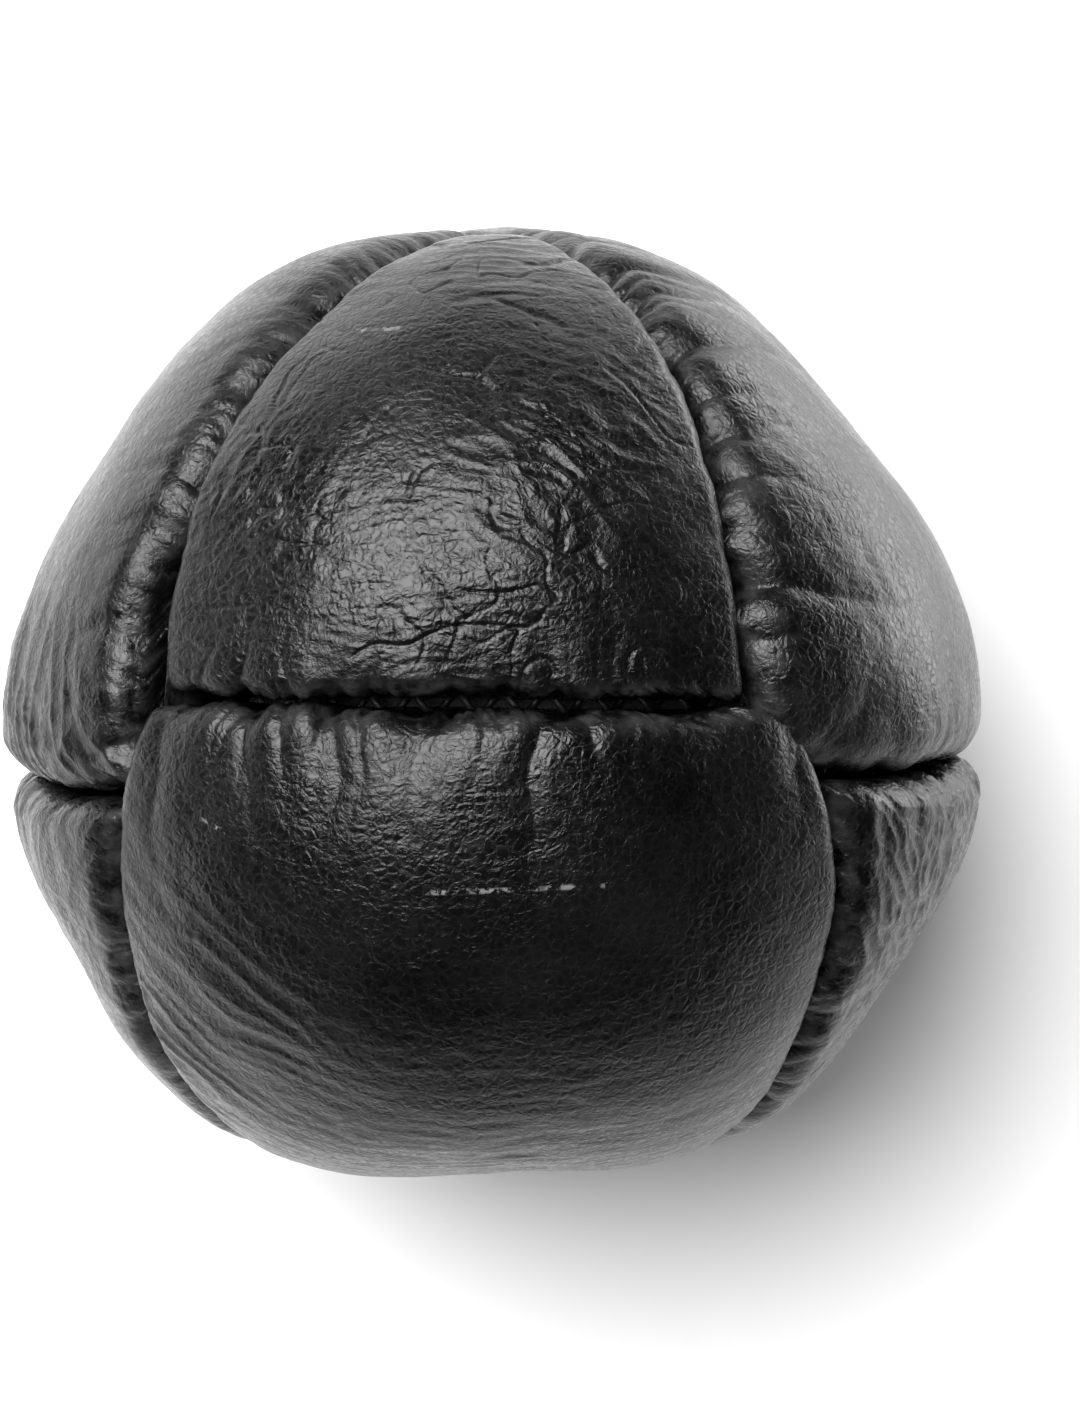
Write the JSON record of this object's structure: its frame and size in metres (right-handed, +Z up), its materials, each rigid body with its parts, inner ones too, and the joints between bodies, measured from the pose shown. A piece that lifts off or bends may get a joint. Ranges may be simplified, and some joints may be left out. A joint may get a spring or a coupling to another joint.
{
  "type": "medicine ball",
  "caption": "Small black leather medicine ball, sewn from rounded triangles of leather around a felt-padded bag of granules.",
  "frame": {"origin": "on the surface that the ball rests on, under the centre of its box", "axes": "+Z up, +X to the ball's right, +Y to its rear corner; the hand-closed seam crosses the top along X"},
  "size_m": [0.124, 0.1214, 0.1205],
  "materials": {
    "leather": "semi-gloss, grained and creased",
    "thread": "waxed",
    "felt": "matt",
    "cotton": "matt",
    "bag_thread": "matt",
    "granules": "matt, loose granules"
  },
  "bodies": {
    "root": {"panel_top_rear": "leather", "panel_top_front": "leather", "panel_left_rear": "leather", "panel_left_front": "leather", "panel_right_rear": "leather", "panel_right_front": "leather", "panel_under_rear": "leather", "panel_under_front": "leather", "thread_closing": "thread", "thread_under": "thread", "thread_left": "thread", "thread_right": "thread", "thread_rear_upper_left": "thread", "thread_rear_upper_right": "thread", "thread_rear_lower_left": "thread", "thread_rear_lower_right": "thread", "thread_front_upper_left": "thread", "thread_front_upper_right": "thread", "thread_front_lower_left": "thread", "thread_front_lower_right": "thread", "wadding": "felt", "bag_left": "cotton", "bag_right": "cotton", "bag_thread": "bag_thread", "filling": "granules"}
  },
  "joints": []
}
